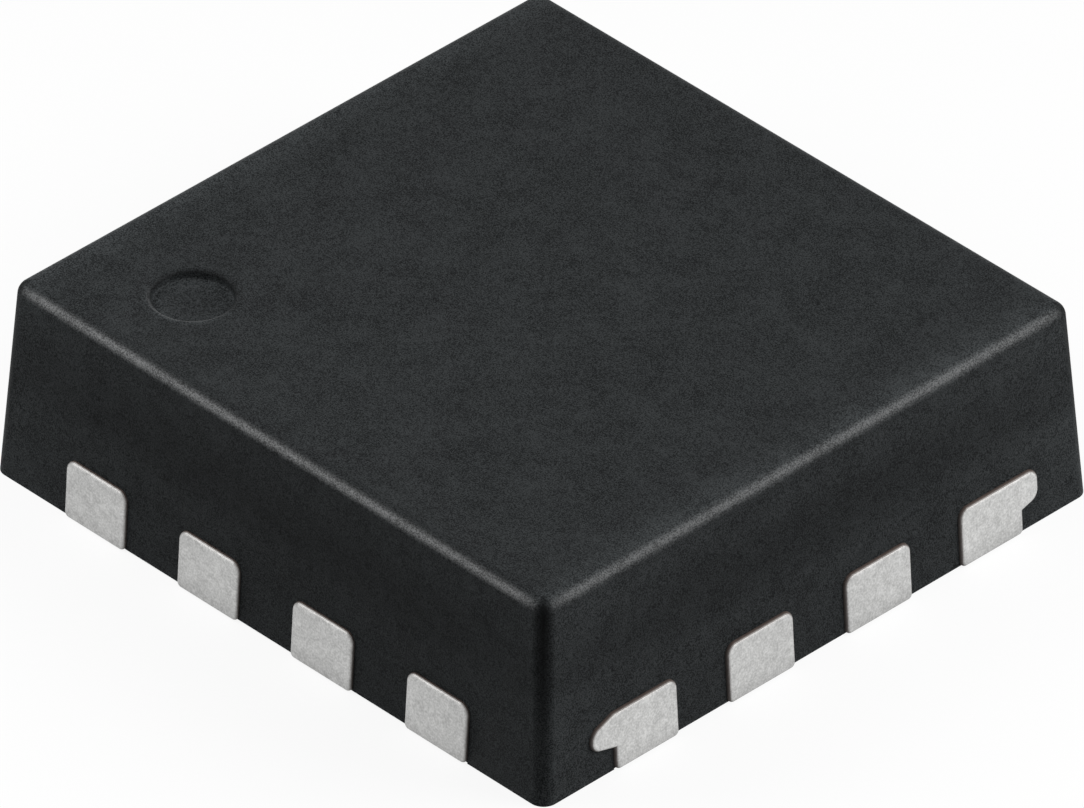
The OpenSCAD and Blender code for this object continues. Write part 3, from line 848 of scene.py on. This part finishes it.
# how bright the painted highlight is on a round: the top edges and the dimple's rim, and how
# dark the painted shade is in the dimple's wall and where two top edges meet
def markPaintedLight(obj):
    mould = mouldSizes
    halfX, halfY = topCore()
    radius, rim, deep = mould["edgeRadius"], mould["dimpleRimRadius"], mould["dimpleDepth"]
    dimpleX, dimpleY, top = dimpleCentre()
    shine = obj.data.attributes.new("paintedHighlight", "FLOAT", "POINT")
    shade = obj.data.attributes.new("paintedShade", "FLOAT", "POINT")
    for vertex in obj.data.vertices:
        x, y, z = vertex.co
        outX, outY = max(abs(x) - halfX, 0), max(abs(y) - halfY, 0)
        out, up = math.hypot(outX, outY), z - (top - radius)
        fromDimple = Vector((x - dimpleX, y - dimpleY))
        inward = mould["dimpleDiameter"] / 2 + rim - fromDimple.length
        bright, dark = 0, 0
        if out > shaping["near"]:
            aside = math.sqrt(2) * min(outX, outY) / out
            if up > 0:
                strength, peak, narrow = paintedLightAndPlating["alongY"] if outX > outY else paintedLightAndPlating["alongX"]
                turn = math.atan2(up, out) / quarterTurn
                line = math.sin(math.pi * turn ** peak) ** narrow
                bright = strength * line * (1 - aside) ** paintedLightAndPlating["cornerFall"]
            dark = aside * max(1 - abs(up) / (paintedLightAndPlating["cornerReach"] * radius), 0)
        elif z > top - deep and inward >= 0:
            facing = max(fromDimple.normalized().dot(Vector(paintedLightAndPlating["highlightSide"]).xy), 0)
            bright = paintedLightAndPlating["dimpleRimHighlight"] * facing * math.sin(math.pi * min(inward / rim, 1))
            full, fades, gone = paintedLightAndPlating["wallDepths"]
            down = (top - z) / deep
            dark = paintedLightAndPlating["dimpleWallShade"] * min(down / full, 1, max((gone - down) / (gone - fades), 0))
        shine.data[vertex.index].value = bright
        shade.data[vertex.index].value = dark


# a lead's outer end: its round, how far it may lie inside the widest point, and how squarely
# its face looks out
endSizes = {"radius": 0.016, "steps": 5, "depth": 0.02, "square": 0.9}
# edges that bend by more than this stay sharp, in degrees
sharpAngles = {"metal": 50, "mould": 35}


def isOnXSide(face):
    return abs(face.center.x) > abs(face.center.y) + (leadSizes["Reach X"] - leadSizes["Reach Y"])


# how far a face of a lead looks out of the moulding's side
def outwardPart(face):
    axis = 0 if isOnXSide(face) else 1
    return face.normal[axis] * math.copysign(1, face.center[axis])


def isEndFace(face):
    fromX = leadSizes["Reach X"] - abs(face.center.x)
    fromY = leadSizes["Reach Y"] - abs(face.center.y)
    return min(fromX, fromY) < endSizes["depth"] and outwardPart(face) > endSizes["square"]


# where the plating lies: on the end faces and the lands, hardly on the flanks, not on top of
# a lead; the dark copper left bare is partly painted shade, and the plating thins faster on
# the X sides to dim their top rounds
def markPlatingAndShade(obj):
    plated = obj.data.attributes.new("plated", "FLOAT", "FACE")
    for face in obj.data.polygons:
        shown = max(outwardPart(face), -face.normal.z)
        full = min(max((shown - paintedLightAndPlating["platingFrom"]) / paintedLightAndPlating["platingSpan"], 0), 1)
        flank = paintedLightAndPlating["flankTin"] * (1 - abs(face.normal.z))
        power = paintedLightAndPlating["platingAndShadeX"] if isOnXSide(face) else paintedLightAndPlating["platingAndShadeY"]
        plated.data[face.index].value = max(full ** power, flank)


inner = [copyOfNode(node) for node in ("die", "die_adhesive")]
combine(mouldBody, inner, "DIFFERENCE")
discard(cutters + spare + inner)
for metal in leadFrame:
    softenEdges(metal, endSizes["radius"], endSizes["steps"], isEndFace)
    markPlatingAndShade(metal)
    finishShape(metal, sharpAngles["metal"])
markPaintedLight(mouldBody)
finishShape(mouldBody, sharpAngles["mould"])

paint(mouldBody, mouldMaterial())
paint(sideLeads, tinMaterial("mattTinShadedSide"))
paint(middleLeads, tinMaterial("mattTin"))
paint(diePad, tinMaterial("mattTinLitPad"))
for node, material in {"die": siliconMaterial(), "die_adhesive": glueMaterial()}.items():
    frame["nodes"][node].material_slots[0].material = material
gold = goldMaterial()
freeNumbers = (1, 2, 3, 4, 6, 7, 9, 10, 11, 12, 14, 15)
for node in ["bond_wire_%d" % number for number in freeNumbers] + ["ground_wire"]:
    frame["nodes"][node].material_slots[0].material = gold


# the free leads on the Y sides (0) or on the X sides (1)
def leadNodes(which):
    numbers = [number for number in freeNumbers if (number - 1) // leadsPerSide % 2 == which]
    return ["lead_%d" % number for number in numbers]


replaced = {
    mouldBody: ("mould_compound", ["mould_body"]),
    sideLeads: ("tin_plate", leadNodes(0)),
    middleLeads: ("tin_plate", leadNodes(1)),
    diePad: ("tin_plate", ["die_pad"]),
}
for piece, (slot, nodes) in replaced.items():
    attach(piece, "root")
    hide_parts(*nodes)
print("pieces: %d" % len(replaced))


# pale floor, two soft boxes, white surroundings; paper and glow are the floor as the camera
# sees it, grey is how it lights the chip, and a box's level is about how bright it makes a
# white face that is turned to it
studio = {
    "floorSize": 0.6, "floorDrop": 0.000002, "paper": 0.97, "glow": 0.88, "grey": 0.32,
    "fill": 0.17, "aim": (0, 0, 0.0004),
    "lamps": {
        "leftBox": {
            "azimuth": 315.9, "elevation": 44, "distance": 0.008, "size": 0.006, "level": 0.63},
        "rightBox": {
            "azimuth": 130, "elevation": 34, "distance": 0.015, "size": 0.0116, "level": 1.05},
    },
}
shot = {
    "azimuth": 45.92, "elevation": 36.115, "distance": 0.08915, "lens": 747.2, "sensor": 36,
    "nearest": 0.001, "farthest": 10, "aim": (0.0001311, -0.0001231, 0.000504),
}


# rays that see the studio itself: the camera's own, and those a shiny or clear surface sends on
def seen(sheet):
    path = sheet.add("ShaderNodeLightPath", out="Is Camera Ray")
    rays = path + path.also("Is Glossy Ray") + path.also("Is Transmission Ray")
    return rays.calc("MINIMUM", rays, 1.0)


def floorMaterial():
    material, sheet = newMaterial("paleFloor")
    paperTone, greyTone = [(studio[name],) * 3 + (1,) for name in ("paper", "grey")]
    paper = sheet.add("ShaderNodeBsdfDiffuse", sockets={"Color": paperTone})
    glow = sheet.add("ShaderNodeEmission", sockets={"Color": (1, 1, 1, 1), "Strength": 1.0})
    white = sheet.add("ShaderNodeMixShader", sockets={0: studio["glow"], 1: paper, 2: glow})
    grey = sheet.add("ShaderNodeBsdfDiffuse", sockets={"Color": greyTone})
    both = sheet.add("ShaderNodeMixShader", sockets={0: seen(sheet), 1: grey, 2: white})
    sheet.add("ShaderNodeOutputMaterial", sockets={"Surface": both})
    return material


def direction(azimuth, elevation):
    turn, up = math.radians(azimuth), math.radians(elevation)
    return Vector((math.sin(turn) * math.cos(up), -math.cos(turn) * math.cos(up), math.sin(up)))


def buildStudio():
    half = studio["floorSize"] / 2
    mesh = bpy.data.meshes.new("floor")
    corners = [(-half, -half), (half, -half), (half, half), (-half, half)]
    mesh.from_pydata([(x, y, -studio["floorDrop"]) for x, y in corners], [], [(0, 1, 2, 3)])
    floor = newObject("floor", mesh)
    paint(floor, floorMaterial())

    world = bpy.data.worlds.new("studio")
    world.use_nodes = True
    world.node_tree.nodes.clear()
    sheet = Sheet(world.node_tree)
    look = seen(sheet)
    sky = sheet.add("ShaderNodeBackground", sockets={
        "Color": (1, 1, 1, 1), "Strength": look + (1.0 - look) * studio["fill"]})
    sheet.add("ShaderNodeOutputWorld", sockets={"Surface": sky})
    scene.world = world

    aim = Vector(studio["aim"])
    for name, box in studio["lamps"].items():
        lamp = bpy.data.lights.new(name, "AREA")
        lamp.size = box["size"]
        lamp.energy = box["level"] * math.pi ** 2 * box["distance"] ** 2
        obj = bpy.data.objects.new(name, lamp)
        scene.collection.objects.link(obj)
        back = direction(box["azimuth"], box["elevation"])
        obj.location = aim + back * box["distance"]
        obj.rotation_euler = back.to_track_quat("Z", "Y").to_euler()
        obj.visible_camera = False


def placeCamera():
    data = bpy.data.cameras.new("camera")
    data.sensor_fit = "HORIZONTAL"
    data.sensor_width = shot["sensor"]
    data.lens = shot["lens"]
    data.clip_start = shot["nearest"]
    data.clip_end = shot["farthest"]
    camera = bpy.data.objects.new("camera", data)
    scene.collection.objects.link(camera)
    back = direction(shot["azimuth"], shot["elevation"])
    camera.location = Vector(shot["aim"]) + back * shot["distance"]
    camera.rotation_euler = back.to_track_quat("Z", "Y").to_euler()
    scene.camera = camera


buildStudio()
placeCamera()
print("studio: %d lamps" % len(studio["lamps"]))
